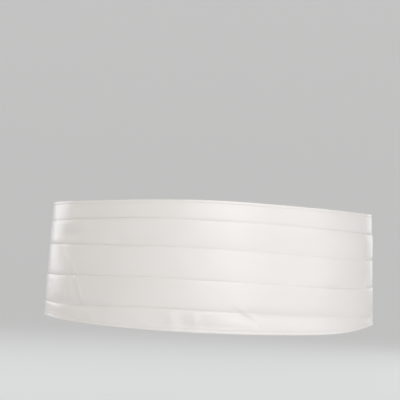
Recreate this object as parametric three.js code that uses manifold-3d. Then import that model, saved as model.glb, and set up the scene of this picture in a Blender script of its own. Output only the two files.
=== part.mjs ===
// A pleated satin cummerbund, closed round a waist.
// Millimetres, +Z up, the front faces -Y, and the origin is the centre of the loop at mid-height.
// "along" is a length round the waist from the centre front, towards +X on the right side.
// "out" is a distance outwards from the waist.

import Module from "manifold-3d";
import * as THREE from "three";
import { mergeVertices } from "three/addons/utils/BufferGeometryUtils.js";

const wasm = await Module();
wasm.setup();

// The waist that the band closes round, at mid-height.
const waistWidth = 295;
const waistDepth = 203;
// How much wider the waist is at the lower edge of the band than at the upper edge, as a share.
const waistFlare = 0.036;

// The pleated panel.
const bandHeight = 114.5;
const cloth = 1;
const foldClearance = 0.3;
const hemDepth = 7;
// The share of each pleat's visible height that is folded under, behind its upper fold.
const foldUnder = 0.42;
// The stretch at the back that the panel leaves to the straps and the clasp.
const backOpeningLength = 180;

// The bindings on the panel's ends, and the straps.
const bindingLap = 12;
const bindingWeb = 2.5;
const strapHeight = 30;
const strapThickness = 1.4;
const strapFoldBack = 26;
const strapRamp = 7;

// The clasp plate.
const claspThickness = 1.8;
const claspBar = 3.6;
const claspCorner = 2.5;
const slotRoom = 1.1;

// Room between pieces that touch on the real thing.
const seat = 0.3;

// How finely the curves are cut.
const panelStations = 34;
const foldSteps = 3;
const alongStep = 12;
const ellipseSteps = 2000;

// Heights of the panel's edges and of its four upper folds, as shares of the band's height above its middle.
// "at" is the place along the panel, from its left end (-1) by the centre front (0) to its right end (1).
const heightRows = [
  { at: -1.0, top: 0.19, fold1: 0.117, fold2: 0.041, fold3: -0.042, fold4: -0.124, bottom: -0.19 },
  { at: -0.87, top: 0.285, fold1: 0.182, fold2: 0.066, fold3: -0.07, fold4: -0.203, bottom: -0.285 },
  { at: -0.75, top: 0.375, fold1: 0.243, fold2: 0.09, fold3: -0.102, fold4: -0.282, bottom: -0.385 },
  { at: -0.64, top: 0.43, fold1: 0.29, fold2: 0.104, fold3: -0.126, fold4: -0.334, bottom: -0.455 },
  { at: -0.55, top: 0.442, fold1: 0.294, fold2: 0.108, fold3: -0.13, fold4: -0.345, bottom: -0.463 },
  { at: -0.39, top: 0.464, fold1: 0.324, fold2: 0.126, fold3: -0.112, fold4: -0.342, bottom: -0.478 },
  { at: -0.2, top: 0.488, fold1: 0.351, fold2: 0.137, fold3: -0.097, fold4: -0.325, bottom: -0.492 },
  { at: 0.0, top: 0.5, fold1: 0.349, fold2: 0.133, fold3: -0.103, fold4: -0.332, bottom: -0.5 },
  { at: 0.2, top: 0.482, fold1: 0.334, fold2: 0.109, fold3: -0.123, fold4: -0.348, bottom: -0.5 },
  { at: 0.39, top: 0.457, fold1: 0.301, fold2: 0.083, fold3: -0.141, fold4: -0.364, bottom: -0.492 },
  { at: 0.55, top: 0.432, fold1: 0.272, fold2: 0.065, fold3: -0.15, fold4: -0.376, bottom: -0.454 },
  { at: 0.64, top: 0.427, fold1: 0.264, fold2: 0.066, fold3: -0.148, fold4: -0.362, bottom: -0.446 },
  { at: 0.75, top: 0.375, fold1: 0.23, fold2: 0.062, fold3: -0.127, fold4: -0.3, bottom: -0.385 },
  { at: 0.87, top: 0.285, fold1: 0.177, fold2: 0.053, fold3: -0.083, fold4: -0.21, bottom: -0.285 },
  { at: 1.0, top: 0.19, fold1: 0.117, fold2: 0.041, fold3: -0.042, fold4: -0.124, bottom: -0.19 },
];

const satin = new THREE.MeshStandardMaterial({ color: 0xece7e2, roughness: 0.42, metalness: 0 });
const webbing = new THREE.MeshStandardMaterial({ color: 0xe4dfd9, roughness: 0.6, metalness: 0 });
const steel = new THREE.MeshStandardMaterial({ color: 0xc4c4c6, roughness: 0.28, metalness: 1 });

// The waist as an ellipse. The angle runs from the centre front, and lengths are looked up in a list.
const arcLengths = waistLengths();
const halfLoop = arcLengths[ellipseSteps];
const panelEnd = halfLoop - backOpeningLength / 2;

function waistLengths() {
  const lengths = [0];
  for (let i = 1; i <= ellipseSteps; i += 1) {
    const angle = (Math.PI * (i - 0.5)) / ellipseSteps;
    const across = (waistWidth / 2) * Math.cos(angle);
    const deep = (waistDepth / 2) * Math.sin(angle);
    lengths.push(lengths[i - 1] + Math.hypot(across, deep) * (Math.PI / ellipseSteps));
  }
  return lengths;
}

function angleAt(along) {
  const length = Math.abs(along);
  if (length > halfLoop) {
    return Math.sign(along) * (2 * Math.PI - angleAt(2 * halfLoop - length));
  }
  const i = Math.max(1, arcLengths.findIndex((value) => value >= length));
  const share = (length - arcLengths[i - 1]) / (arcLengths[i] - arcLengths[i - 1]);
  return (Math.sign(along) * Math.PI * (i - 1 + share)) / ellipseSteps;
}

function waistPoint(along, height, out) {
  const angle = angleAt(along);
  const widening = 1 - (waistFlare * height) / bandHeight;
  const acrossNormal = Math.sin(angle) * waistDepth;
  const deepNormal = -Math.cos(angle) * waistWidth;
  const normalLength = Math.hypot(acrossNormal, deepNormal);
  return new THREE.Vector3(
    (waistWidth / 2) * widening * Math.sin(angle) + (out * acrossNormal) / normalLength,
    (-waistDepth / 2) * widening * Math.cos(angle) + (out * deepNormal) / normalLength,
    height,
  );
}

// The closed outline of a ribbon: a line of points, thickened evenly to both sides.
function ribbonOutline(path, thickness) {
  const left = [];
  const right = [];
  path.forEach((point, i) => {
    const before = point.clone().sub(path[Math.max(i - 1, 0)]).normalize();
    const after = path[Math.min(i + 1, path.length - 1)].clone().sub(point).normalize();
    const middle = before.add(after).normalize();
    const side = new THREE.Vector2(-middle.y, middle.x);
    const next = path[i + 1] ?? point.clone().add(point.clone().sub(path[i - 1]));
    const heading = next.clone().sub(point).normalize();
    const stretch = thickness / 2 / Math.abs(heading.x * middle.x + heading.y * middle.y);
    left.push(point.clone().addScaledVector(side, stretch));
    right.push(point.clone().addScaledVector(side, -stretch));
  });
  return left.concat(right.reverse());
}

function arc(centreX, centreY, radius, from, to, steps) {
  return Array.from({ length: steps + 1 }, (_, i) => {
    const angle = from + ((to - from) * i) / steps;
    return new THREE.Vector2(centreX + radius * Math.cos(angle), centreY + radius * Math.sin(angle));
  });
}

// A closed solid through rings of points that all match the flat outline given for the end caps.
function loft(rings, flatOutline) {
  const size = rings[0].length;
  const positions = rings.flat().flatMap((point) => point.toArray());
  const faces = [];
  for (let ring = 0; ring < rings.length - 1; ring += 1) {
    for (let i = 0; i < size; i += 1) {
      const here = ring * size + i;
      const beside = ring * size + ((i + 1) % size);
      faces.push(here, beside, beside + size, here, beside + size, here + size);
    }
  }
  const lastRing = (rings.length - 1) * size;
  const clockwise = THREE.ShapeUtils.isClockWise(flatOutline);
  for (const [a, b, c] of THREE.ShapeUtils.triangulateShape(flatOutline, [])) {
    const [second, third] = clockwise ? [c, b] : [b, c];
    faces.push(a, third, second, lastRing + a, lastRing + second, lastRing + third);
  }
  const geometry = new THREE.BufferGeometry();
  geometry.setAttribute("position", new THREE.Float32BufferAttribute(positions, 3));
  geometry.setIndex(faces);
  if (enclosedVolume(geometry) < 0) {
    geometry.setIndex(faces.reverse());
  }
  geometry.computeVertexNormals();
  return geometry;
}

function enclosedVolume(geometry) {
  const position = geometry.getAttribute("position");
  const index = geometry.getIndex();
  const corner = (i) => new THREE.Vector3().fromBufferAttribute(position, index.getX(i));
  let volume = 0;
  for (let i = 0; i < index.count; i += 3) {
    volume += corner(i).dot(corner(i + 1).cross(corner(i + 2))) / 6;
  }
  return volume;
}

// Heights at a place along the panel, drawn smoothly through the rows.
const columns = ["top", "fold1", "fold2", "fold3", "fold4", "bottom"];
const heightCurve = new THREE.CubicInterpolant(
  heightRows.map((row) => row.at),
  heightRows.flatMap((row) => columns.map((column) => row[column])),
  columns.length,
);

function heightsAt(along) {
  const place = THREE.MathUtils.clamp(along / panelEnd, -1, 1);
  const shares = heightCurve.evaluate(place);
  return Object.fromEntries(columns.map((column, i) => [column, shares[i] * bandHeight]));
}

// Layers of the folded cloth, by the distance of their middle from the waist.
const backLayer = cloth / 2;
const middleLayer = backLayer + cloth + foldClearance;
const frontLayer = middleLayer + cloth + foldClearance;
const foldRadius = (cloth + foldClearance) / 2;
const foldReach = foldRadius + cloth / 2;
const panelThickness = frontLayer + cloth / 2;

// A fold over the top, or under the bottom, between the back or front layer and the middle one.
function upperFold(fromLayer, toLayer, height) {
  return arc((fromLayer + toLayer) / 2, height - foldReach, foldRadius, 0, Math.PI, foldSteps);
}

function lowerFold(height) {
  const middle = (backLayer + middleLayer) / 2;
  return arc(middle, height + foldReach, foldRadius, 0, -Math.PI, foldSteps);
}

// The cloth's path up one cross-section, as (out, height): hem, four pleats that open upwards, hem.
function panelPath({ top, fold1, fold2, fold3, fold4, bottom }) {
  // The hems get shallower where the band narrows towards its ends.
  const hem = (hemDepth * (top - bottom)) / bandHeight;
  const path = [new THREE.Vector2(backLayer, bottom + hem)];
  path.push(...lowerFold(bottom).reverse());
  path.push(new THREE.Vector2(middleLayer, bottom + hem + foldClearance));

  let visibleFrom = bottom;
  for (const fold of [fold4, fold3, fold2, fold1]) {
    const under = fold - (fold - visibleFrom) * foldUnder;
    path.push(new THREE.Vector2(frontLayer, under - foldClearance));
    path.push(...upperFold(frontLayer, middleLayer, fold));
    path.push(...lowerFold(under));
    path.push(new THREE.Vector2(backLayer, fold + foldClearance));
    visibleFrom = fold;
  }
  path.push(new THREE.Vector2(middleLayer, top - hem - foldClearance));
  path.push(...upperFold(middleLayer, backLayer, top));
  path.push(new THREE.Vector2(backLayer, top - hem));
  return path;
}

function pleatedPanel() {
  const endAngle = angleAt(panelEnd);
  const rings = [];
  let flatOutline;
  for (let i = 0; i <= panelStations; i += 1) {
    const along = lengthAt(endAngle * ((2 * i) / panelStations - 1));
    flatOutline = ribbonOutline(panelPath(heightsAt(along)), cloth);
    rings.push(flatOutline.map((point) => waistPoint(along, point.y, point.x)));
  }
  return loft(rings, flatOutline);
}

function lengthAt(angle) {
  const steps = (Math.abs(angle) / Math.PI) * ellipseSteps;
  const i = Math.min(Math.floor(steps), ellipseSteps - 1);
  const rest = steps - i;
  return Math.sign(angle) * (arcLengths[i] * (1 - rest) + arcLengths[i + 1] * rest);
}

// A piece with the same outline, as (along, out), at every height between its lower and upper edge.
function plannedSolid(outline, side, edgesAt) {
  const finer = outline.flatMap((point, i) => {
    const next = outline[(i + 1) % outline.length];
    const parts = Math.max(1, Math.ceil(Math.abs(next.x - point.x) / alongStep));
    return Array.from({ length: parts }, (_, part) => point.clone().lerp(next, part / parts));
  });
  const ringAt = (edge) => finer.map((point) => waistPoint(side * point.x, edgesAt(point.x)[edge], point.y));
  const [lower, upper] = [ringAt("bottom"), ringAt("top")];
  return loft([lower, upper], lower.map((point) => new THREE.Vector2(point.x, point.y)));
}

// The straps run level behind the middle of the panel's thickness.
const strapOut = panelThickness / 2;
const bindingEnd = panelEnd + seat + bindingWeb + seat + bindingLap;

// A cloth binding that holds the panel's end in one slot and the strap's end in the other.
function endBinding(side) {
  const panelSlotEnd = panelEnd + seat;
  const strapSlotStart = panelSlotEnd + bindingWeb;
  const strapLow = strapOut - strapThickness / 2 - seat;
  const strapHigh = strapOut + strapThickness / 2 + seat;
  const outline = [
    [panelEnd - bindingLap, -seat - cloth],
    [panelSlotEnd, -seat - cloth],
    [bindingEnd, strapLow - cloth],
    [bindingEnd, strapLow],
    [strapSlotStart, strapLow],
    [strapSlotStart, strapHigh],
    [bindingEnd, strapHigh],
    [bindingEnd, strapHigh + cloth],
    [panelSlotEnd, panelThickness + seat + cloth],
    [panelEnd - bindingLap, panelThickness + seat + cloth],
    [panelEnd - bindingLap, panelThickness + seat],
    [panelSlotEnd, panelThickness + seat],
    [panelSlotEnd, -seat],
    [panelEnd - bindingLap, -seat],
  ].map(([along, out]) => new THREE.Vector2(along, out));
  const edgesAt = (along) => {
    const { top, bottom } = heightsAt(side * along);
    const past = THREE.MathUtils.clamp((along - panelEnd) / (bindingEnd - panelEnd), 0, 1);
    const margin = strapHeight / 2 + cloth;
    return {
      top: THREE.MathUtils.lerp(top, margin, past),
      bottom: THREE.MathUtils.lerp(bottom, -margin, past),
    };
  };
  return plannedSolid(outline, side, edgesAt);
}

// Places on the clasp, along the waist.
const slotWidth = strapThickness + 2 * slotRoom;
const claspLength = 3 * claspBar + 2 * slotWidth;
const claspStart = halfLoop - claspLength / 2;
const claspInner = strapOut + strapThickness / 2 + seat;
const claspOuter = claspInner + claspThickness;

// A strap from its binding, behind the clasp's bar, round it through the slot, and back onto itself.
function strap(side) {
  const barEdge = claspStart + claspBar;
  const turn = strapThickness / 2 + seat;
  const sewnOut = strapOut + strapThickness + seat;
  const path = [
    new THREE.Vector2(panelEnd + seat + bindingWeb + seat, strapOut),
    ...arc(barEdge, claspInner, turn, -Math.PI / 2, 0, foldSteps),
    ...arc(barEdge, claspOuter, turn, 0, Math.PI / 2, foldSteps),
    new THREE.Vector2(claspStart - seat, claspOuter + turn),
    new THREE.Vector2(claspStart - seat - strapRamp, sewnOut),
    new THREE.Vector2(claspStart - seat - strapRamp - strapFoldBack, sewnOut),
  ];
  const edges = { top: strapHeight / 2, bottom: -strapHeight / 2 };
  return plannedSolid(ribbonOutline(path, strapThickness), side, () => edges);
}

function solidFrom(geometry) {
  const bare = new THREE.BufferGeometry();
  bare.setAttribute("position", geometry.getAttribute("position"));
  bare.setIndex(geometry.getIndex());
  const merged = mergeVertices(bare);
  const vertProperties = Float32Array.from(merged.getAttribute("position").array);
  const triVerts = Uint32Array.from(merged.getIndex().array);
  return new wasm.Manifold(new wasm.Mesh({ numProp: 3, vertProperties, triVerts }));
}

function geometryFrom(solid) {
  const { vertProperties, triVerts } = solid.getMesh();
  const geometry = new THREE.BufferGeometry();
  geometry.setAttribute("position", new THREE.Float32BufferAttribute(vertProperties, 3));
  geometry.setIndex(Array.from(triVerts));
  return geometry;
}

// A plate, curved with the waist, that has one slot for each strap.
function backClasp() {
  const halfHeight = strapHeight / 2 + slotRoom + claspBar;
  const plate = new THREE.Shape();
  const corners = [[1, 1], [-1, 1], [-1, -1], [1, -1]];
  corners.forEach(([across, up], turn) => {
    const centreX = across * (claspLength / 2 - claspCorner);
    const centreY = up * (halfHeight - claspCorner);
    plate.absarc(centreX, centreY, claspCorner, (turn * Math.PI) / 2, ((turn + 1) * Math.PI) / 2);
  });
  const settings = { depth: claspThickness, bevelEnabled: false, curveSegments: 4 };
  let solid = solidFrom(new THREE.ExtrudeGeometry(plate, settings));
  for (const side of [-1, 1]) {
    const slot = new THREE.BoxGeometry(slotWidth, strapHeight + 2 * slotRoom, 3 * claspThickness);
    slot.translate((side * (claspBar + slotWidth)) / 2, 0, 0);
    solid = solid.subtract(solidFrom(slot));
  }
  const geometry = geometryFrom(solid);
  const position = geometry.getAttribute("position");
  for (let i = 0; i < position.count; i += 1) {
    const along = halfLoop + position.getX(i);
    const point = waistPoint(along, position.getY(i), claspInner + position.getZ(i));
    position.setXYZ(i, point.x, point.y, point.z);
  }
  geometry.computeVertexNormals();
  return geometry;
}

const cummerbund = new THREE.Group();

function addPiece(name, geometry, material) {
  const mesh = new THREE.Mesh(geometry, material);
  mesh.name = name;
  cummerbund.add(mesh);
}

addPiece("pleated_panel", pleatedPanel(), satin);
for (const [label, side] of [["left", -1], ["right", 1]]) {
  addPiece(`end_binding_${label}`, endBinding(side), satin);
  addPiece(`strap_${label}`, strap(side), webbing);
}
addPiece("back_clasp", backClasp(), steel);

export default cummerbund;
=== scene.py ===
# A pleated satin cummerbund, closed round a waist. Lengths are in millimetres until a mesh is made.
import math

import bmesh
import bpy
import numpy as np
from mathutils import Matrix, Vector


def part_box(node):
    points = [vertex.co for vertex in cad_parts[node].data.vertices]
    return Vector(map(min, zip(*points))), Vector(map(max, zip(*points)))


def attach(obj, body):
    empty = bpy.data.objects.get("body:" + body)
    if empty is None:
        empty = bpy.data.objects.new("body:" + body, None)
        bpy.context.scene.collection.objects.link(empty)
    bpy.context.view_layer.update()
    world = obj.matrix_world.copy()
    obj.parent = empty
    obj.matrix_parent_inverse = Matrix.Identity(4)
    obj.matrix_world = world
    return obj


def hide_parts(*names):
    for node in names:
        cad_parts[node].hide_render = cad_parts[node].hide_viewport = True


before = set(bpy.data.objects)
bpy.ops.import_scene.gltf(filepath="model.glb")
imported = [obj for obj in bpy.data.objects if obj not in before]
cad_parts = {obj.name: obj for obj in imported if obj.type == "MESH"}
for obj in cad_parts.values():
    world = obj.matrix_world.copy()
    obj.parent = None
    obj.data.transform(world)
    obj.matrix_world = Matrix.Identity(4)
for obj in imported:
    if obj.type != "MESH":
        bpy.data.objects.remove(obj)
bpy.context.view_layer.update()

MM = 0.001


def height_of(node):
    """The height of one of the part's solids."""
    low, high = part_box(node)
    return (high[2] - low[2]) / MM


# The waist at mid-height, as the panel closes round it.
WAIST_WIDTH = 295.0
WAIST_DEPTH = 203.0
WAIST_FLARE = 0.036
BAND_HEIGHT = height_of("pleated_panel")
BACK_OPENING = 180.0

# The satin and its pleats. WAIST_ROOM is left behind the cloth, and SNUG between its layers. FOLD_UNDER is
# the share of a pleat's height that the cloth goes down behind its fold, and PLEAT_LEAN the share of its way
# out that it gains evenly. By its lip a pleat bends back by LIP_DROP lip radii, over about LIP_SOFTNESS.
# TUCK_SHARE of a pleat's way out is the most that the hidden turn behind it takes.
CLOTH = 0.24
SNUG = 0.12
WAIST_ROOM = 0.6
FOLD_UNDER = 0.42
PLEAT_LEAN = 0.45
LIP_DROP = 3.2
LIP_SOFTNESS = 0.9
TUCK_SHARE = 0.6

# The hems and their sewn lines. The cloth stays flat by each edge, and the bottom pleat then rolls out, over
# stretches given in depths of the sewn line.
HEM_DEPTH = 7.0
HEM_SEAM = 2.7
HEM_SEAM_DEPTH = 0.2
HEM_SEAM_WIDTH = 0.5
BOTTOM_FLAT = 2.4
TOP_FLAT = 2.6
BOTTOM_ROLL = 2.0

# How finely the panel is cut: stations in front, stations behind to each side, and steps round each turn.
FINE_REACH = 190.0
FINE_STATIONS = 240
COARSE_STATIONS = 73
TURN_STEPS = 4
LIP_STEPS = 6

# Bindings and straps. INNER, OUTER and OUT are measured out from the waist.
BINDING_LAP = 12.0
BINDING_WEB = 2.5
BINDING_CLOTH = 0.8
BINDING_INNER = 0.2
BINDING_OUTER = 2.8
STRAP_HEIGHT = height_of("strap_left")
STRAP_THICKNESS = 1.2
STRAP_OUT = 1.8
STRAP_FOLD_BACK = 26.0
STRAP_RAMP = 7.0
STRAP_STEP = 1.0
STRAP_ROWS = 34
STRAP_EDGE = 0.4
BINDING_EDGE = 0.34
BINDING_CORNER = 0.3
BINDING_STEP = 0.8
BINDING_ROWS = 44
SEAT = 0.3

# The clasp plate.
CLASP_HEIGHT = height_of("back_clasp")
CLASP_BAR = 3.6
CLASP_SLOT = 3.6
CLASP_THICKNESS = 1.8
CLASP_CORNER = 2.5
CLASP_SLOT_CORNER = 0.9
CLASP_STEP = 1.2
CLASP_EDGE = 0.4

# Threads and what they do to the cloth.
STITCH_LENGTH = 2.2
STITCH_GAP = 0.9
THREAD_RADIUS = 0.17
THREAD_SIDES = 6
SEAM_INSET = 1.7
SEAM_SINK = 0.16
THREAD_SINK = 0.6 * SEAM_SINK
SEAM_REACH = 0.9
BOX_MARGIN = 2.6

# Heights of the panel's edges and of its four upper folds, as shares of the band's height above its middle.
# The first column is the place along the panel, from its left end by the centre front to its right end.
HEIGHT_COLUMNS = ("top", "fold1", "fold2", "fold3", "fold4", "bottom")
HEIGHT_ROWS = np.array((
    (-1.0, 0.19, 0.117, 0.041, -0.042, -0.124, -0.19),
    (-0.87, 0.285, 0.182, 0.066, -0.07, -0.203, -0.285),
    (-0.75, 0.375, 0.243, 0.09, -0.102, -0.282, -0.385),
    (-0.64, 0.43, 0.29, 0.104, -0.126, -0.334, -0.455),
    (-0.55, 0.442, 0.294, 0.108, -0.13, -0.345, -0.463),
    (-0.39, 0.464, 0.324, 0.126, -0.112, -0.342, -0.478),
    (-0.2, 0.488, 0.351, 0.137, -0.097, -0.325, -0.492),
    (0.0, 0.5, 0.349, 0.133, -0.103, -0.332, -0.5),
    (0.2, 0.482, 0.334, 0.109, -0.123, -0.348, -0.5),
    (0.39, 0.457, 0.301, 0.083, -0.141, -0.364, -0.492),
    (0.55, 0.432, 0.272, 0.065, -0.15, -0.376, -0.454),
    (0.64, 0.427, 0.264, 0.066, -0.148, -0.362, -0.446),
    (0.75, 0.375, 0.23, 0.062, -0.127, -0.3, -0.385),
    (0.87, 0.285, 0.177, 0.053, -0.083, -0.21, -0.285),
    (1.0, 0.19, 0.117, 0.041, -0.042, -0.124, -0.19),
))

# How each upper fold lies: the gap in front of the pleat above it, the length in which that pleat rolls
# out of the gap, and the radius of the fold's lip. The first column is the place along the waist.
FOLD_ROWS = {
    "fold1": (
        (-260, 0.03, 1.8, 0.1),
        (-170, 0.05, 1.8, 0.12),
        (-110, 0.12, 1.8, 0.2),
        (0, 0.08, 2.4, 0.14),
        (30, 0.04, 4.5, 0.1),
        (90, 0.05, 4.5, 0.1),
        (115, 0.14, 3.0, 0.2),
        (135, 0.25, 3.0, 0.26),
        (160, 0.4, 3.0, 0.3),
        (178, 0.2, 3.0, 0.18),
        (240, 0.03, 1.8, 0.1),
    ),
    "fold2": (
        (-260, 0.03, 1.8, 0.1),
        (-150, 0.06, 1.8, 0.12),
        (-131, 0.2, 2.4, 0.2),
        (-104, 0.02, 1.5, 0.07),
        (-80, 0.2, 2.4, 0.2),
        (-50, 0.04, 1.6, 0.1),
        (-19, 0.01, 3.0, 0.04),
        (20, 0.0, 6.0, 0.02),
        (90, 0.0, 6.0, 0.02),
        (112, 0.03, 3.0, 0.06),
        (240, 0.03, 1.8, 0.08),
    ),
    "fold3": (
        (-260, 0.03, 1.8, 0.1),
        (-150, 0.1, 1.8, 0.15),
        (0, 0.05, 1.8, 0.12),
        (35, 0.02, 4.0, 0.05),
        (80, 0.02, 4.0, 0.05),
        (112, 0.08, 3.0, 0.14),
        (150, 0.03, 1.8, 0.1),
        (240, 0.03, 1.8, 0.1),
    ),
    "fold4": (
        (-260, 0.03, 1.8, 0.1),
        (-160, 0.06, 2.4, 0.12),
        (-136, 0.1, 3.0, 0.16),
        (-95, 0.08, 3.0, 0.12),
        (-60, 0.12, 2.4, 0.16),
        (-38, 0.3, 2.4, 0.22),
        (-3, 0.25, 2.4, 0.22),
        (25, 0.05, 3.0, 0.1),
        (60, 0.01, 3.0, 0.03),
        (170, 0.01, 3.0, 0.03),
        (240, 0.03, 1.8, 0.1),
    ),
}

# Long soft creases: how far the cloth goes out there, the reach to each side, and the line it follows.
# Past the ends of its line a crease fades over CREASE_FADE times its reach.
CREASE_FADE = 4.0
CREASES = (
    (-0.7, 5.0, ((-141, 0), (-134, -9), (-125, -30))),
    (1.0, 2.0, ((-136, -1), (-129.2, -8.8), (-120, -30))),
    (-1.2, 3.6, ((-142, -37.5), (-120, -38), (-104, -38.5))),
    (0.3, 4.0, ((-109, -42), (-107, -50))),
    (-1.1, 4.6, ((34, -41.5), (76, -42.5), (119, -43.5), (165, -44))),
    (-1.0, 2.8, ((118, 31.5), (172, 29.5))),
    (-0.5, 2.8, ((114, -14), (134, -14.5))),
    (-0.5, 2.0, ((27, -40.5), (34, -45))),
    (0.35, 2.0, ((30, -38), (38, -43))),
)

# Soft dents and swellings: place along the waist, height, reach along, reach up, and how far out.
DENTS = (
    (-136, 22.5, 12, 5, -0.9),
    (-163, 16, 8, 4, 0.4),
    (-83, 20, 9, 4, -0.9),
    (-66, -46, 9, 5, 0.4),
    (-33, -47, 4, 6, 0.7),
    (-23, -47, 4, 6, -0.6),
    (-12, -47, 4, 6, 0.7),
    (137, -40, 30, 4, -0.15),
    (157, 7, 1.8, 2.5, 0.7),
    (159, -14, 2, 4, 0.9),
)

# Slow waves of worn cloth: how far out, the lengths along and up in which each turns by one radian, and
# where it starts.
WAVES = (
    (0.12, 19.0, 31.0, 0.0),
    (0.08, 9.3, -12.0, 1.3),
    (0.04, 4.7, 7.7, 0.4),
)

# Fine gathers by each binding: how far out, their turn for each millimetre up and along, and their reach.
GATHER_RISE = 0.16
GATHER_TURN_UP = 1.15
GATHER_TURN_ALONG = 0.03
GATHER_REACH = 14.0

# The stretch before each binding in which all of this fades out, and how far it goes on inside the binding.
HELD_STRETCH = 16.0
HELD_INSIDE = 6.0

# Camera, floor and lights. A light has an azimuth, from 0 in front to 90 at the right, an elevation,
# a distance in metres, a width and a height in metres, a power in watts, and a tint.
CAMERA_PLACE = (-11.9, -1500.0, 57.0)
CAMERA_ROLL = 2.1
CAMERA_LENS = 146.4
FLOOR_HEIGHT = -260.0
WORLD_STRENGTH = 0.02
BOWL_GLOW = 0.43
COOL = (0.925, 0.957, 1.0)
WARM = (1.0, 0.965, 0.78)
LIGHTS = {
    "above": (10, 58, 2.2, 2.6, 1.4, 14.4, WARM),
    "key": (4, 16, 2.0, 1.3, 1.4, 8.3, COOL),
    "key_right": (36, 16, 2.0, 2.8, 1.4, 14.5, COOL),
    "left_rim": (-125, 14, 2.0, 1.2, 1.2, 9.9, COOL),
    "left_side": (-90, 14, 2.0, 1.2, 1.2, 1.8, WARM),
    "right_rim": (150, 14, 2.0, 1.2, 1.2, 4.0, COOL),
    "back": (180, 30, 2.0, 1.6, 1.2, 9.5, COOL),
}


def smooth(places, values, at):
    """A smooth curve through the values at the given places, read at other places."""
    slopes = np.gradient(values, places)
    i = np.clip(np.searchsorted(places, at) - 1, 0, len(places) - 2)
    span = places[i + 1] - places[i]
    t = (at - places[i]) / span
    return (
        (1 + 2 * t) * (1 - t) ** 2 * values[i]
        + t * (1 - t) ** 2 * span * slopes[i]
        + t**2 * (3 - 2 * t) * values[i + 1]
        + t**2 * (t - 1) * span * slopes[i + 1]
    )


# The waist as an ellipse: angles from the centre front, and the length round the waist to each.
ANGLES = np.linspace(0, math.pi, 4001)
MIDWAY = (ANGLES[1:] + ANGLES[:-1]) / 2
STEPS = np.hypot(WAIST_WIDTH / 2 * np.cos(MIDWAY), WAIST_DEPTH / 2 * np.sin(MIDWAY)) * ANGLES[1]
LENGTHS = np.concatenate([[0], np.cumsum(STEPS)])
HALF_LOOP = LENGTHS[-1]
PANEL_END = HALF_LOOP - BACK_OPENING / 2
BINDING_START = PANEL_END - BINDING_LAP
STRAP_START = PANEL_END + SEAT + BINDING_WEB + SEAT
BINDING_END = STRAP_START + BINDING_LAP
CLASP_START = HALF_LOOP - (3 * CLASP_BAR + 2 * CLASP_SLOT) / 2
CLASP_INNER = STRAP_OUT + STRAP_THICKNESS / 2 + SEAT
FOLD_BACK_FROM = CLASP_START - SEAT - STRAP_RAMP
FOLD_BACK_TO = FOLD_BACK_FROM - STRAP_FOLD_BACK
FOLD_BACK_OUT = STRAP_OUT + STRAP_THICKNESS + SEAT / 2


def waist_points(along, height, out):
    """Points round the waist, in metres: along it from the centre front, up, and out from it."""
    length = np.abs(along)
    past_back = length > HALF_LOOP
    angle = np.interp(np.where(past_back, 2 * HALF_LOOP - length, length), LENGTHS, ANGLES)
    angle = np.where(past_back, 2 * math.pi - angle, angle) * np.sign(along)
    widening = 1 - WAIST_FLARE * height / BAND_HEIGHT
    across = np.sin(angle) * WAIST_DEPTH
    deep = -np.cos(angle) * WAIST_WIDTH
    steep = np.hypot(across, deep)
    x = WAIST_WIDTH / 2 * widening * np.sin(angle) + out * across / steep
    y = -WAIST_DEPTH / 2 * widening * np.cos(angle) + out * deep / steep
    return np.stack([x, y, height + 0 * x], axis=-1) * MM


# Meshes from rings of points.
def thicken(path, thickness):
    """The closed outlines of cloth that follows the paths, given as (path, point, 2)."""
    heading = np.diff(path, axis=1)
    heading /= np.linalg.norm(heading, axis=2, keepdims=True)
    before = np.concatenate([heading[:, :1], heading], axis=1)
    after = np.concatenate([heading, heading[:, -1:]], axis=1)
    middle = before + after
    middle /= np.linalg.norm(middle, axis=2, keepdims=True)
    side = np.stack([-middle[..., 1], middle[..., 0]], axis=-1)
    reach = thickness / 2 / np.sum(middle * after, axis=2, keepdims=True)
    return np.concatenate([path + side * reach, (path - side * reach)[:, ::-1]], axis=1)


def new_object(name, vertices, faces, material):
    """A smoothly shaded object whose faces all look outwards."""
    mesh = bpy.data.meshes.new(name)
    mesh.from_pydata(vertices.reshape(-1, 3).tolist(), [], faces)
    mesh.validate()
    working = bmesh.new()
    working.from_mesh(mesh)
    bmesh.ops.recalc_face_normals(working, faces=working.faces)
    working.to_mesh(mesh)
    working.free()
    for polygon in mesh.polygons:
        polygon.use_smooth = True
    piece = bpy.data.objects.new(name, mesh)
    bpy.context.scene.collection.objects.link(piece)
    mesh.materials.append(material)
    return piece


def tube_faces(rings, size, first=0):
    """The quads of a tube through rings of points."""
    here = np.arange(rings - 1)[:, None] * size + np.arange(size) + first
    beside = np.arange(rings - 1)[:, None] * size + np.roll(np.arange(size), -1) + first
    return np.stack([here, beside, beside + size, here + size], axis=-1).reshape(-1, 4).tolist()


def add_map(piece, across, up):
    """A texture map in metres, from one pair of numbers for each vertex."""
    layer = piece.data.uv_layers.new(name="cloth")
    index = np.empty(len(piece.data.loops), dtype=np.int32)
    piece.data.loops.foreach_get("vertex_index", index)
    pairs = np.stack([across.ravel(), up.ravel()], axis=-1)[index] * MM
    layer.data.foreach_set("uv", pairs.astype(np.float32).ravel())


def show_as(piece, node=None):
    """Fixes a piece to the body and, if it stands for a node, hides that node's solid."""
    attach(piece, "root")
    if node:
        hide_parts(node)


# Materials.
def new_material(name):
    material = bpy.data.materials.new(name)
    material.use_nodes = True
    nodes = material.node_tree.nodes
    return material, nodes, material.node_tree.links, nodes["Principled BSDF"]


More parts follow.
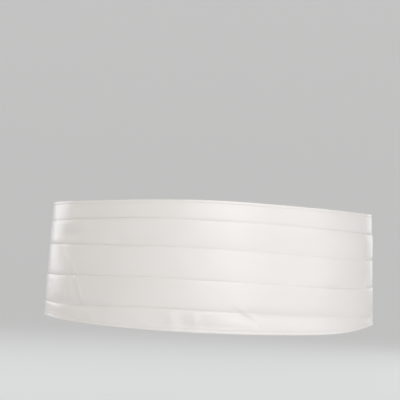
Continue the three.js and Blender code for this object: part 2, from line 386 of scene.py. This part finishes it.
def scaled_map(nodes, links, scale):
    """The cloth's own map in metres, times a scale."""
    source = nodes.new("ShaderNodeUVMap")
    source.uv_map = "cloth"
    mapping = nodes.new("ShaderNodeMapping")
    mapping.inputs["Scale"].default_value = scale
    links.new(source.outputs["UV"], mapping.inputs["Vector"])
    return mapping.outputs["Vector"]


def noise(nodes, links, vector, scale, detail=2.0):
    texture = nodes.new("ShaderNodeTexNoise")
    texture.inputs["Scale"].default_value = scale
    texture.inputs["Detail"].default_value = detail
    links.new(vector, texture.inputs["Vector"])
    return texture.outputs["Fac"]


def spread(nodes, links, factor, low, high):
    """A factor about one half, spread over a range."""
    change = nodes.new("ShaderNodeMapRange")
    change.inputs["From Min"].default_value = 0.2
    change.inputs["From Max"].default_value = 0.8
    change.inputs["To Min"].default_value = low
    change.inputs["To Max"].default_value = high
    links.new(factor, change.inputs["Value"])
    return change.outputs["Result"]


def two_colours(nodes, links, factor, first, second):
    """A colour between two, by a factor from 0 to 1."""
    mix = nodes.new("ShaderNodeMix")
    mix.data_type = "RGBA"
    mix.inputs["A"].default_value = (*first, 1)
    mix.inputs["B"].default_value = (*second, 1)
    links.new(factor, mix.inputs["Factor"])
    return mix.outputs["Result"]


def bump(nodes, links, height, strength, distance, below=None):
    """Fine relief, on top of any relief below it."""
    node = nodes.new("ShaderNodeBump")
    node.inputs["Strength"].default_value = strength
    node.inputs["Distance"].default_value = distance
    links.new(height, node.inputs["Height"])
    if below is not None:
        links.new(below, node.inputs["Normal"])
    return node.outputs["Normal"]


def satin_material():
    """Off-white satin: fine floats along the band, a soft broad gloss and a faint unevenness."""
    material, nodes, links, shader = new_material("satin")
    floats = noise(nodes, links, scaled_map(nodes, links, (700, 7000, 1)), 1.0)
    crumple = noise(nodes, links, scaled_map(nodes, links, (60, 110, 1)), 1.0, 3.0)
    patches = noise(nodes, links, scaled_map(nodes, links, (14, 30, 1)), 1.0)
    colour = two_colours(
        nodes, links, spread(nodes, links, patches, 0, 1), (0.80, 0.757, 0.735), (0.83, 0.79, 0.775)
    )
    links.new(colour, shader.inputs["Base Color"])
    links.new(spread(nodes, links, crumple, 0.28, 0.32), shader.inputs["Roughness"])
    soft = bump(nodes, links, crumple, 0.1, 0.0004)
    links.new(bump(nodes, links, floats, 0.25, 0.00004, soft), shader.inputs["Normal"])
    shader.inputs["Sheen Weight"].default_value = 0.15
    shader.inputs["Sheen Roughness"].default_value = 0.4
    shader.inputs["Specular IOR Level"].default_value = 0.8
    return material


def webbing_material():
    """A matt woven strap with fine ribs across it."""
    material, nodes, links, shader = new_material("webbing")
    ribs = nodes.new("ShaderNodeTexWave")
    ribs.bands_direction = "X"
    ribs.inputs["Scale"].default_value = 1.0
    ribs.inputs["Distortion"].default_value = 0.6
    links.new(scaled_map(nodes, links, (320, 320, 1)), ribs.inputs["Vector"])
    threads = noise(nodes, links, scaled_map(nodes, links, (3000, 900, 1)), 1.0)
    colour = two_colours(
        nodes, links, spread(nodes, links, threads, 0, 1), (0.74, 0.69, 0.65), (0.8, 0.755, 0.715)
    )
    links.new(colour, shader.inputs["Base Color"])
    links.new(spread(nodes, links, threads, 0.55, 0.7), shader.inputs["Roughness"])
    fine = bump(nodes, links, threads, 0.3, 0.0001)
    links.new(bump(nodes, links, ribs.outputs["Fac"], 0.5, 0.00015, fine), shader.inputs["Normal"])
    shader.inputs["Sheen Weight"].default_value = 0.2
    return material


def thread_material():
    """A twisted thread, a little darker in its twist."""
    material, nodes, links, shader = new_material("thread")
    coordinates = nodes.new("ShaderNodeTexCoord")
    twist = noise(nodes, links, coordinates.outputs["Object"], 4000)
    colour = two_colours(
        nodes, links, spread(nodes, links, twist, 0, 1), (0.72, 0.68, 0.64), (0.84, 0.8, 0.76)
    )
    links.new(colour, shader.inputs["Base Color"])
    links.new(bump(nodes, links, twist, 0.4, 0.0001), shader.inputs["Normal"])
    shader.inputs["Roughness"].default_value = 0.45
    return material


def metal_material():
    """Polished steel with fine brushing and a few duller places."""
    material, nodes, links, shader = new_material("clasp_metal")
    coordinates = nodes.new("ShaderNodeTexCoord")
    stretch = nodes.new("ShaderNodeMapping")
    stretch.inputs["Scale"].default_value = (600, 600, 9000)
    links.new(coordinates.outputs["Object"], stretch.inputs["Vector"])
    brushing = noise(nodes, links, stretch.outputs["Vector"], 1.0)
    dull = noise(nodes, links, coordinates.outputs["Object"], 220)
    links.new(
        two_colours(nodes, links, spread(nodes, links, dull, 0, 1), (0.6, 0.6, 0.61), (0.68, 0.68, 0.69)),
        shader.inputs["Base Color"],
    )
    links.new(spread(nodes, links, dull, 0.2, 0.32), shader.inputs["Roughness"])
    links.new(bump(nodes, links, brushing, 0.12, 0.00005), shader.inputs["Normal"])
    shader.inputs["Metallic"].default_value = 1.0
    return material


satin = satin_material()
webbing = webbing_material()
thread = thread_material()
clasp_metal = metal_material()


# The pleated panel.
def heights_at(along):
    """The heights of the panel's edges and folds at places along the waist, by name."""
    place = np.clip(along / PANEL_END, -1, 1)
    places = HEIGHT_ROWS[:, 0]
    return {
        name: smooth(places, HEIGHT_ROWS[:, i + 1], place) * BAND_HEIGHT
        for i, name in enumerate(HEIGHT_COLUMNS)
    }


def line_distance(along, height, line, end_fade=1.0):
    """How far each point is from a line of straight stretches, with less counted past its ends."""
    nearest = np.full(np.broadcast(along, height).shape, np.inf)
    for (from_along, from_height), (to_along, to_height) in zip(line, line[1:]):
        length = math.hypot(to_along - from_along, to_height - from_height)
        ahead = ((to_along - from_along) / length, (to_height - from_height) / length)
        run = (along - from_along) * ahead[0] + (height - from_height) * ahead[1]
        beside = (along - from_along) * ahead[1] - (height - from_height) * ahead[0]
        past = run - np.clip(run, 0, length)
        nearest = np.minimum(nearest, np.hypot(beside, past / end_fade))
    return nearest


def relief(along, height):
    """How far worn cloth stands out from where it would lie if it were quite smooth."""
    out = np.zeros(np.broadcast(along, height).shape)
    for rise, length_along, length_up, start in WAVES:
        out += rise * np.sin(along / length_along + height / length_up + start)
    for rise, reach, line in CREASES:
        out += rise * np.exp(-((line_distance(along, height, line, CREASE_FADE) / reach) ** 2))
    for middle_along, middle_height, reach_along, reach_up, rise in DENTS:
        apart = ((along - middle_along) / reach_along) ** 2 + ((height - middle_height) / reach_up) ** 2
        out += rise * np.exp(-apart)
    to_binding = BINDING_START - np.abs(along)
    gathers = GATHER_RISE * np.sin(height * GATHER_TURN_UP + GATHER_TURN_ALONG * along)
    gathers *= np.exp(-np.abs(to_binding) / GATHER_REACH)
    held = np.clip((to_binding + HELD_INSIDE) / HELD_STRETCH, 0, 1)
    return (out + gathers) * held


def half_turn(centre, height, across, up, start, steps):
    """Points over (start 0) or under (start pi) a fold, for every station at once."""
    angles = np.linspace(start, start + math.pi, steps + 1)
    return [(centre + across * math.cos(a), height + up * math.sin(a)) for a in angles]


def between(first, last, shares):
    """Points at the given shares of the way from the first to the last."""
    return [
        (first[0] + (last[0] - first[0]) * share, first[1] + (last[1] - first[1]) * share)
        for share in shares
    ]


# Where a pleat's cloth is cut up its visible height: finer where it leaves the gap and near its lip.
PLEAT_SHARES = np.concatenate([
    0.94 * np.linspace(0, 1, 17)[:-1] ** 1.5,
    (0.94, 0.96, 0.975, 0.987, 1.0),
])
TOP_PLEAT_SHARES = np.linspace(0, 0.92, 13) ** 1.5


def panel_path(along):
    """The folded cloth's middle line, bottom hem to top hem, as (station, point, (out, height))."""
    heights = heights_at(along)
    none = np.zeros_like(along)
    back = none + WAIST_ROOM + CLOTH / 2
    snug = CLOTH + SNUG
    hem = HEM_DEPTH * (heights["top"] - heights["bottom"]) / BAND_HEIGHT
    seam = hem * HEM_SEAM / HEM_DEPTH
    seam_width = seam * HEM_SEAM_WIDTH / HEM_SEAM

    def seam_points(edge, direction, out):
        """Points across the sewn line of a hem, from its inner side to the edge or the other way."""
        steps = (3.2, 1.0, 0.4, 0.0, -0.4, -1.0, -2.4)
        sink = (0.0, 0.1, 0.7, 1.0, 0.7, 0.1, 0.0)
        return [
            (out - HEM_SEAM_DEPTH * depth, edge - direction * (seam + step * seam_width))
            for step, depth in zip(steps, sink)
        ]

    points = [(back, heights["bottom"] + hem)]
    hem_turn = heights["bottom"] + (CLOTH + snug) / 2
    points += half_turn(back + snug / 2, hem_turn, snug / 2, snug / 2, math.pi, TURN_STEPS)
    points += seam_points(heights["bottom"], -1, back + snug)[::-1]

    visible_from = heights["bottom"] + seam * BOTTOM_FLAT
    leaves_at = back + snug
    pitch_from = heights["bottom"]
    roll_below = seam * BOTTOM_ROLL
    for name in ("fold4", "fold3", "fold2", "fold1"):
        fold = heights[name]
        rows = np.array(FOLD_ROWS[name], float)
        gap, roll, lip = (np.interp(along, rows[:, 0], column) for column in rows[:, 1:].T)
        under = fold - (fold - pitch_from) * FOLD_UNDER
        behind = back + CLOTH + gap
        drop = LIP_DROP * lip
        front = behind + 2 * lip + drop
        turn_at = fold - CLOTH / 2 - lip
        tuck = np.minimum(snug, TUCK_SHARE * (front - back))
        tall = turn_at - visible_from
        for share in PLEAT_SHARES:
            rolled = 1 - np.exp(-share * tall / roll_below)
            rise = PLEAT_LEAN * share + (1 - PLEAT_LEAN) * rolled
            bend = drop * np.exp(-(1 - share) * tall / LIP_SOFTNESS)
            out = leaves_at + (front - leaves_at) * rise - bend
            points.append((out, visible_from + tall * share))
        points += half_turn(behind + lip, turn_at, lip, lip, 0, LIP_STEPS)[1:]
        low = under + (CLOTH + snug) / 2
        points += between((behind, turn_at), (back + tuck, low), (0.3, 0.65))
        points += half_turn(back + tuck / 2, low, tuck / 2, tuck / 2, math.pi, TURN_STEPS)[::-1]
        points += between((back, low), (back, fold), (0.5,))
        visible_from = fold
        pitch_from = fold
        leaves_at = back
        roll_below = roll

    top = heights["top"]
    edge_out = back + snug
    tall = top - seam * TOP_FLAT - visible_from
    for share in TOP_PLEAT_SHARES:
        rise = 1 - np.exp(-share * tall / roll_below)
        points.append((back + (edge_out - back) * rise, visible_from + tall * share))
    points += seam_points(top, 1, edge_out)
    points += half_turn(back + snug / 2, top - (CLOTH + snug) / 2, snug / 2, snug / 2, 0, TURN_STEPS)
    points.append((back, top - hem))
    return np.stack([np.stack([out + none, height + none], axis=-1) for out, height in points], axis=1)


def pleated_panel():
    """The panel as one folded cloth, finer in front than behind."""
    behind = np.linspace(PANEL_END, FINE_REACH, COARSE_STATIONS, endpoint=False)
    in_front = np.linspace(-FINE_REACH, FINE_REACH, FINE_STATIONS)
    along = np.concatenate([-behind, in_front, behind[::-1]])
    path = panel_path(along)
    outline = thicken(path, CLOTH)
    places = along[:, None]
    out = outline[..., 0] + relief(places, outline[..., 1])
    vertices = waist_points(places + 0 * out, outline[..., 1], out)
    stations, size = out.shape
    faces = tube_faces(stations, size)
    for start in (0, (stations - 1) * size):
        for i in range(size // 2 - 1):
            faces.append([start + i, start + i + 1, start + size - 2 - i, start + size - 1 - i])
    panel = new_object("pleated_panel_satin", vertices, faces, satin)
    steps = np.linalg.norm(np.diff(path.mean(axis=0), axis=0), axis=1)
    run = np.concatenate([[0], np.cumsum(steps)])
    up = np.concatenate([run, run[::-1]])
    add_map(panel, places + 0 * out, up[None, :] + 0 * out)
    return panel


# Bindings and straps: an outline seen from above, carried up between two edges.
def rounded(corners, radius, step):
    """A closed outline with its corners rounded and its straight stretches cut into short steps."""
    corners = np.array(corners, float)
    points = []
    for before, corner, after in zip(np.roll(corners, 1, axis=0), corners, np.roll(corners, -1, axis=0)):
        inward = [(end - corner) / np.linalg.norm(end - corner) * radius for end in (before, after)]
        for t in (0.0, 0.25, 0.5, 0.75, 1.0):
            points.append(corner + inward[0] * (1 - t) ** 2 + inward[1] * t**2)
    finer = []
    for point, following in zip(points, points[1:] + points[:1]):
        parts = max(1, math.ceil(np.linalg.norm(following - point) / step))
        finer += [point + (following - point) * part / parts for part in range(parts)]
    return np.array(finer)


def round_ended(path, thickness):
    """The closed outline of a strip that follows one path and has round ends."""
    path = np.array(path, float)
    outline = thicken(path[None], thickness)[0]
    caps = []
    for end, neighbour in ((path[-1], path[-2]), (path[0], path[1])):
        heading = (end - neighbour) / np.linalg.norm(end - neighbour)
        side = np.array([-heading[1], heading[0]])
        caps.append([
            end + thickness / 2 * (side * math.cos(a) + heading * math.sin(a))
            for a in np.linspace(0, math.pi, 7)[1:-1]
        ])
    middle = len(path)
    return np.concatenate([outline[:middle], caps[0], outline[middle:], caps[1]])


def planned_piece(name, outline, side, edges_at, rows, rim, material, seams):
    """A piece with the same outline, as (along, out), at every height between its two edges."""
    following, previous = np.roll(outline, -1, axis=0), np.roll(outline, 1, axis=0)
    ahead = (following - previous) / np.linalg.norm(following - previous, axis=1, keepdims=True)
    area = np.sum(outline[:, 0] * following[:, 1] - following[:, 0] * outline[:, 1])
    outward = np.stack([ahead[:, 1], -ahead[:, 0]], axis=-1) * math.copysign(1, area)
    lower, upper = edges_at(outline[:, 0])

    turns = np.linspace(0, math.pi / 2, 4)
    rims = [(rim * (1 - math.cos(turn)), rim * (1 - math.sin(turn))) for turn in turns]
    rings = [(0, rise, inset) for rise, inset in rims]
    rings += [(row / rows, 0, 0) for row in range(1, rows)]
    rings += [(1, -drop, inset) for drop, inset in rims[::-1]]

    points = []
    for share, shift, inset in rings:
        height = lower + (upper - lower) * share + shift
        ring = outline - outward * inset
        sunk = sum(
            SEAM_SINK * np.exp(-((line_distance(ring[:, 0], height, line) / SEAM_REACH) ** 2))
            for line in seams
        )
        points.append(np.stack([ring[:, 0], height, ring[:, 1] - outward[:, 1] * sunk], axis=-1))
    points = np.array(points)
    count, size = points.shape[:2]
    faces = tube_faces(count, size)
    faces += [list(range(size)), list(range((count - 1) * size, count * size))]
    piece = new_object(
        name, waist_points(side * points[..., 0], points[..., 1], points[..., 2]), faces, material
    )
    run = np.concatenate([[0], np.cumsum(np.linalg.norm(np.diff(outline, axis=0), axis=1))])
    add_map(piece, run[None, :] + 0 * points[..., 0], points[..., 1])
    return piece


# Stitches: short threads that dip into the cloth at both ends.
def stitch_ends(line):
    """Where the stitches along a line start and end."""
    line = np.array(line, float)
    run = np.concatenate([[0], np.cumsum(np.linalg.norm(np.diff(line, axis=0), axis=1))])
    count = max(1, int((run[-1] + STITCH_GAP) / (STITCH_LENGTH + STITCH_GAP)))
    pitch = run[-1] / count
    gap = pitch * STITCH_GAP / (STITCH_LENGTH + STITCH_GAP)
    starts = np.arange(count) * pitch + gap / 2
    ends = starts + pitch - gap
    return [np.stack([np.interp(at, run, line[:, i]) for i in (0, 1)], axis=-1) for at in (starts, ends)]


def stitches(name, rows, side, out_at=None):
    """Stitches as one piece. A row is a line, the cloth's surface there, and 1 outside or -1 inside."""
    shares = np.array([0.0, 0.08, 0.28, 0.72, 0.92, 1.0])[None, :, None]
    lifts = np.array([-1.4, -0.3, 0.25, 0.25, -0.3, -1.4])[None, :, None] * THREAD_RADIUS
    widths = np.array([0.5, 0.9, 1.0, 1.0, 0.9, 0.5])[None, :, None] * THREAD_RADIUS
    round_thread = np.arange(THREAD_SIDES)[None, None, :] * 2 * math.pi / THREAD_SIDES
    vertices, faces = [], []
    rings = shares.size
    for line, surface, facing in rows:
        starts, ends = stitch_ends(line)
        heading = (ends - starts) / np.linalg.norm(ends - starts, axis=1, keepdims=True)
        middle = starts[:, None] + (ends - starts)[:, None] * shares
        beside = widths * np.cos(round_thread)
        along = middle[..., :1] - heading[:, 1, None, None] * beside
        height = middle[..., 1:] + heading[:, 0, None, None] * beside
        out = surface + facing * (lifts + widths * np.sin(round_thread) - THREAD_SINK) + 0 * along
        if out_at is not None:
            out = out + out_at(along, height)
        for points in waist_points(side * along, height, out):
            first = rings * THREAD_SIDES * len(vertices)
            last = first + (rings - 1) * THREAD_SIDES
            vertices.append(points.reshape(-1, 3))
            faces += tube_faces(rings, THREAD_SIDES, first)
            faces += [[end + i for i in range(THREAD_SIDES)] for end in (first, last)]
    piece = new_object(name, np.concatenate(vertices), faces, thread)
    show_as(piece)
    return piece


def binding_edges(side):
    """A binding's lower and upper edge, from the panel's height down to the strap's."""
    def edges_at(along):
        heights = heights_at(side * along)
        past = np.clip((along - PANEL_END) / (BINDING_END - PANEL_END), 0, 1)
        margin = STRAP_HEIGHT / 2 + BINDING_CLOTH
        return (
            heights["bottom"] + (-margin - heights["bottom"]) * past,
            heights["top"] + (margin - heights["top"]) * past,
        )
    return edges_at


def upright_line(along, edges_at):
    """A line of stitches straight up a binding, short of its edges."""
    lower, upper = edges_at(np.array([along]))
    return ((along, lower[0] + SEAM_INSET), (along, upper[0] - SEAM_INSET))


def binding_seams(edges_at):
    """The two lines that hold the panel, and the two that hold the strap."""
    places = (BINDING_START + SEAM_INSET, PANEL_END - SEAM_INSET)
    return [upright_line(place, edges_at) for place in places], [
        ((place, -STRAP_HEIGHT / 2 + SEAM_INSET), (place, STRAP_HEIGHT / 2 - SEAM_INSET))
        for place in (STRAP_START + 2 * SEAM_INSET, BINDING_END - SEAM_INSET)
    ]


def end_binding(label, side):
    """A cloth tab that holds the panel's end in one slot and the strap's end in the other."""
    panel_slot_end = PANEL_END + SEAT
    strap_low = STRAP_OUT - STRAP_THICKNESS / 2 - SEAT / 2
    strap_high = STRAP_OUT + STRAP_THICKNESS / 2 + SEAT / 2
    strap_slot_start = panel_slot_end + BINDING_WEB
    corners = (
        (BINDING_START, BINDING_INNER - BINDING_CLOTH),
        (panel_slot_end, BINDING_INNER - BINDING_CLOTH),
        (BINDING_END, strap_low - BINDING_CLOTH),
        (BINDING_END, strap_low),
        (strap_slot_start, strap_low),
        (strap_slot_start, strap_high),
        (BINDING_END, strap_high),
        (BINDING_END, strap_high + BINDING_CLOTH),
        (panel_slot_end, BINDING_OUTER + BINDING_CLOTH),
        (BINDING_START, BINDING_OUTER + BINDING_CLOTH),
        (BINDING_START, BINDING_OUTER),
        (panel_slot_end, BINDING_OUTER),
        (panel_slot_end, BINDING_INNER),
        (BINDING_START, BINDING_INNER),
    )
    edges_at = binding_edges(side)
    panel_lines, strap_lines = binding_seams(edges_at)
    name = f"end_binding_{label}_satin"
    outline = rounded(corners, BINDING_CORNER, BINDING_STEP)
    piece = planned_piece(
        name, outline, side, edges_at, BINDING_ROWS, BINDING_EDGE, satin, panel_lines + strap_lines
    )
    show_as(piece, f"end_binding_{label}")
    rows = []
    for line in panel_lines + strap_lines:
        past = max(line[0][0] - panel_slot_end, 0) / (BINDING_END - panel_slot_end)
        outer = BINDING_OUTER + (strap_high - BINDING_OUTER) * past
        inner = BINDING_INNER + (strap_low - BINDING_INNER) * past
        rows += [(line, outer + BINDING_CLOTH, 1), (line, inner - BINDING_CLOTH, -1)]
    return piece, stitches(f"end_binding_{label}_stitches", rows, side)


def strap_path():
    """A strap's middle line: behind the clasp's bar, round it through the slot, and back onto itself."""
    bar_edge = CLASP_START + CLASP_BAR
    turn = STRAP_THICKNESS / 2 + SEAT
    raised = CLASP_INNER + CLASP_THICKNESS + turn
    first, last = STRAP_START + STRAP_THICKNESS / 2, bar_edge - 0.6 * STRAP_STEP
    path = [(along, STRAP_OUT) for along in np.arange(first, last, STRAP_STEP)]
    quarter = np.linspace(0, math.pi / 2, 6)
    path += [(bar_edge + turn * math.sin(a), CLASP_INNER - turn * math.cos(a)) for a in quarter]
    raised_arc = [(turn * math.cos(a), turn * math.sin(a)) for a in quarter]
    path += [(bar_edge + across, CLASP_INNER + CLASP_THICKNESS + up) for across, up in raised_arc]
    path += [(along, raised) for along in np.arange(bar_edge - STRAP_STEP, CLASP_START - SEAT, -STRAP_STEP)]
    for share in np.linspace(0, 1, 11):
        ease = share**2 * (3 - 2 * share)
        path.append((CLASP_START - SEAT - STRAP_RAMP * share, raised + (FOLD_BACK_OUT - raised) * ease))
    first, last = FOLD_BACK_FROM - STRAP_STEP, FOLD_BACK_TO - 0.01 * STRAP_STEP
    return path + [(along, FOLD_BACK_OUT) for along in np.arange(first, last, -STRAP_STEP)]


def crossed_box():
    """The lines of the seam that holds a strap's end down: a box and its two diagonals."""
    near, far = FOLD_BACK_FROM - BOX_MARGIN, FOLD_BACK_TO + BOX_MARGIN
    high = STRAP_HEIGHT / 2 - BOX_MARGIN
    ends = ((near, high), (near, -high), (far, -high), (far, high))
    sides = [(ends[i], ends[(i + 1) % 4]) for i in range(4)]
    return sides + [(ends[0], ends[2]), (ends[1], ends[3])]


def strap(label, side):
    """A strap of webbing, sewn down where it has come back through the clasp."""
    half = STRAP_HEIGHT / 2
    outline = round_ended(strap_path(), STRAP_THICKNESS)
    name = f"strap_{label}_webbing"
    box = crossed_box()

    def edges_at(along):
        return -half + 0 * along, half + 0 * along

    piece = planned_piece(name, outline, side, edges_at, STRAP_ROWS, STRAP_EDGE, webbing, box)
    show_as(piece, f"strap_{label}")
    rows = [(line, FOLD_BACK_OUT + STRAP_THICKNESS / 2, 1) for line in box]
    rows += [(line, STRAP_OUT - STRAP_THICKNESS / 2, -1) for line in box]
    return piece, stitches(f"strap_{label}_stitches", rows, side)


def hem_stitches():
    """The stitches of the panel's two hems, which follow its edges."""
    along = np.linspace(-BINDING_START, BINDING_START, FINE_STATIONS)
    heights = heights_at(along)
    inset = HEM_SEAM * (heights["top"] - heights["bottom"]) / BAND_HEIGHT
    surface = WAIST_ROOM + 1.5 * CLOTH + SNUG
    lines = [heights["bottom"] + inset, heights["top"] - inset]
    rows = [(np.stack([along, height], axis=-1), surface, 1) for height in lines]
    return stitches("panel_hem_stitches", rows, 1, relief)


# The clasp.
def clasp_plate():
    """A plate with two slots and rounded edges, then curved with the waist."""
    curve = bpy.data.curves.new("back_clasp_outline", "CURVE")
    curve.dimensions = "2D"
    curve.fill_mode = "BOTH"
    curve.extrude = CLASP_THICKNESS / 2 - CLASP_EDGE
    curve.bevel_depth = CLASP_EDGE
    curve.bevel_resolution = 3
    curve.offset = -CLASP_EDGE
    half_length, half_height = HALF_LOOP - CLASP_START, CLASP_HEIGHT / 2
    slot_middle = (CLASP_BAR + CLASP_SLOT) / 2
    boxes = [(0, half_length, half_height, CLASP_CORNER)]
    boxes += [
        (middle, CLASP_SLOT / 2, half_height - CLASP_BAR, CLASP_SLOT_CORNER)
        for middle in (-slot_middle, slot_middle)
    ]
    for middle, across, up, corner in boxes:
        corners = [(middle + x * across, y * up) for x, y in ((-1, -1), (1, -1), (1, 1), (-1, 1))]
        outline = rounded(corners, corner, CLASP_STEP)
        spline = curve.splines.new("POLY")
        spline.points.add(len(outline) - 1)
        spline.use_cyclic_u = True
        for point, (x, y) in zip(spline.points, outline):
            point.co = (x, y, 0, 1)
    drawn = bpy.data.objects.new("back_clasp_outline", curve)
    bpy.context.scene.collection.objects.link(drawn)
    flat = bpy.data.meshes.new_from_object(drawn.evaluated_get(bpy.context.evaluated_depsgraph_get()))
    bpy.data.objects.remove(drawn)
    x, y, z = np.array([vertex.co for vertex in flat.vertices]).T
    faces = [list(polygon.vertices) for polygon in flat.polygons]
    bent = waist_points(HALF_LOOP + x, y, CLASP_INNER + CLASP_THICKNESS / 2 + z)
    plate = new_object("back_clasp_steel", bent, faces, clasp_metal)
    plate.modifiers.new("even shading", "WEIGHTED_NORMAL")
    show_as(plate, "back_clasp")
    return plate


panel = pleated_panel()
show_as(panel, "pleated_panel")
hems = hem_stitches()
for label, side in (("left", -1), ("right", 1)):
    binding, binding_threads = end_binding(label, side)
    tape, tape_threads = strap(label, side)
clasp_plate()


# Stage, light and camera.
def stage_material():
    """A pale matt studio that glows faintly, so that soft light comes from every side."""
    material, _, _, shader = new_material("studio")
    shader.inputs["Base Color"].default_value = (0.36, 0.36, 0.36, 1)
    shader.inputs["Roughness"].default_value = 0.9
    shader.inputs["Specular IOR Level"].default_value = 0.1
    shader.inputs["Emission Color"].default_value = (1, 1, 1, 1)
    shader.inputs["Emission Strength"].default_value = BOWL_GLOW
    return material


def studio_bowl():
    """A round floor that curves up into a wall all round, far outside every view."""
    floor_radius, wall_radius, wall_height = 3000.0, 5000.0, 2600.0
    profile = [(1.0, 0.0), (floor_radius, 0.0)]
    for i in range(1, 13):
        angle = math.pi / 2 * i / 12
        radius = floor_radius + (wall_radius - floor_radius) * math.sin(angle)
        profile.append((radius, (wall_radius - floor_radius) * (1 - math.cos(angle))))
    profile.append((wall_radius, wall_height))
    turns = np.linspace(0, 2 * math.pi, 97)[:-1]
    vertices = np.array([
        [(r * math.cos(t), r * math.sin(t), FLOOR_HEIGHT + z) for t in turns] for r, z in profile
    ]) * MM
    faces = tube_faces(len(profile), len(turns))
    faces.append(list(range(len(turns))))
    new_object("studio_bowl", vertices, faces, stage_material())


def area_light(name, azimuth, elevation, distance, width, height, power, tint):
    """A soft light that looks at the middle of the loop."""
    light = bpy.data.lights.new(name, "AREA")
    light.shape = "RECTANGLE"
    light.size = width
    light.size_y = height
    light.energy = power
    light.color = tint
    lamp = bpy.data.objects.new(name, light)
    bpy.context.scene.collection.objects.link(lamp)
    turn, lift = math.radians(azimuth), math.radians(elevation)
    direction = Vector((math.sin(turn) * math.cos(lift), -math.cos(turn) * math.cos(lift), math.sin(lift)))
    lamp.location = direction * distance
    lamp.rotation_euler = direction.to_track_quat("Z", "Y").to_euler()
    lamp.visible_camera = False


def set_up_camera():
    camera = bpy.data.cameras.new("camera")
    camera.lens = CAMERA_LENS
    holder = bpy.data.objects.new("camera", camera)
    holder.location = Vector(CAMERA_PLACE) * MM
    holder.rotation_euler = (math.pi / 2, -math.radians(CAMERA_ROLL), 0)
    bpy.context.scene.collection.objects.link(holder)
    bpy.context.scene.camera = holder


def set_up_world():
    world = bpy.data.worlds.new("studio")
    world.use_nodes = True
    background = world.node_tree.nodes["Background"]
    background.inputs["Color"].default_value = (*WARM, 1)
    background.inputs["Strength"].default_value = WORLD_STRENGTH
    bpy.context.scene.world = world


studio_bowl()
for name, settings in LIGHTS.items():
    area_light(name, *settings)
set_up_camera()
set_up_world()
bpy.context.scene.view_settings.view_transform = "Standard"
